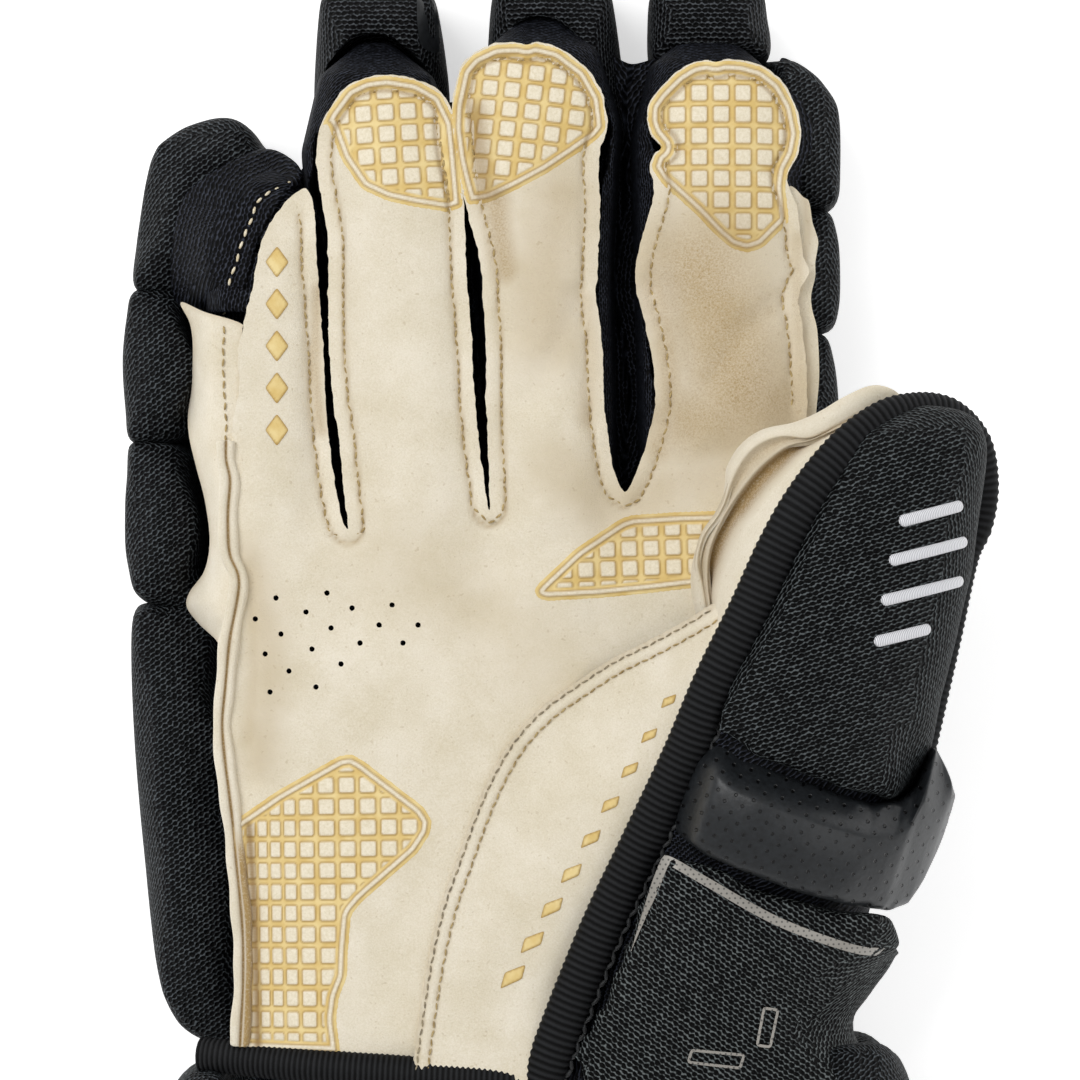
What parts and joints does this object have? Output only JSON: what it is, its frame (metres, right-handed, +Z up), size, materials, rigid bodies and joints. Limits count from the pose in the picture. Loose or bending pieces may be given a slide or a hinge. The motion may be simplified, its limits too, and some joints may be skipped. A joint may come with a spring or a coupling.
{
  "type": "ice hockey glove",
  "caption": "Right-hand ice hockey glove on its back: cream suede palm, knitted finger sleeves, padded back, thumb and flared open cuff, hollow for the hand.",
  "frame": {"origin": "where the middle roll of the back rests on the surface, under the middle of the hand", "axes": "+Y to the fingertips, +X to the thumb side, +Z up, out of the palm, with the glove on its back"},
  "size_m": [0.1935, 0.3599, 0.0974],
  "materials": {
    "suede": "napped synthetic suede",
    "grip": "printed raised grip",
    "knit": "fine ribbed knit",
    "mesh": "coarse air mesh",
    "coated": "satin coated synthetic",
    "tape": "ribbed binding tape",
    "thread": "waxed thread",
    "embroidery": "satin stitch",
    "print": "heat-bonded film"
  },
  "bodies": {
    "root": {"palm_leather": "suede", "thenar_leather": "suede", "thumb_sleeve": "suede", "side_gusset": "suede", "index_gusset": "suede", "hand_lining": "knit", "pinky_sleeve": "knit", "ring_sleeve": "knit", "middle_sleeve": "knit", "index_sleeve": "knit", "thumb_binding": "tape", "heel_binding": "tape", "cuff_binding": "tape", "thumb_base_pad": "mesh", "thumb_tip_pad": "mesh", "back_roll_lower": "mesh", "back_roll_middle": "mesh", "back_roll_upper": "mesh", "back_roll_knuckle": "mesh", "side_pad": "mesh", "cuff_pad": "mesh", "pinky_pad_base": "mesh", "pinky_pad_mid": "mesh", "pinky_pad_tip": "mesh", "ring_pad_base": "mesh", "ring_pad_mid": "mesh", "ring_pad_tip": "mesh", "middle_pad_base": "mesh", "middle_pad_mid": "mesh", "middle_pad_tip": "mesh", "index_pad_base": "mesh", "index_pad_mid": "mesh", "index_pad_tip": "mesh", "index_pad_end": "mesh", "thumb_band": "coated"}
  },
  "joints": []
}
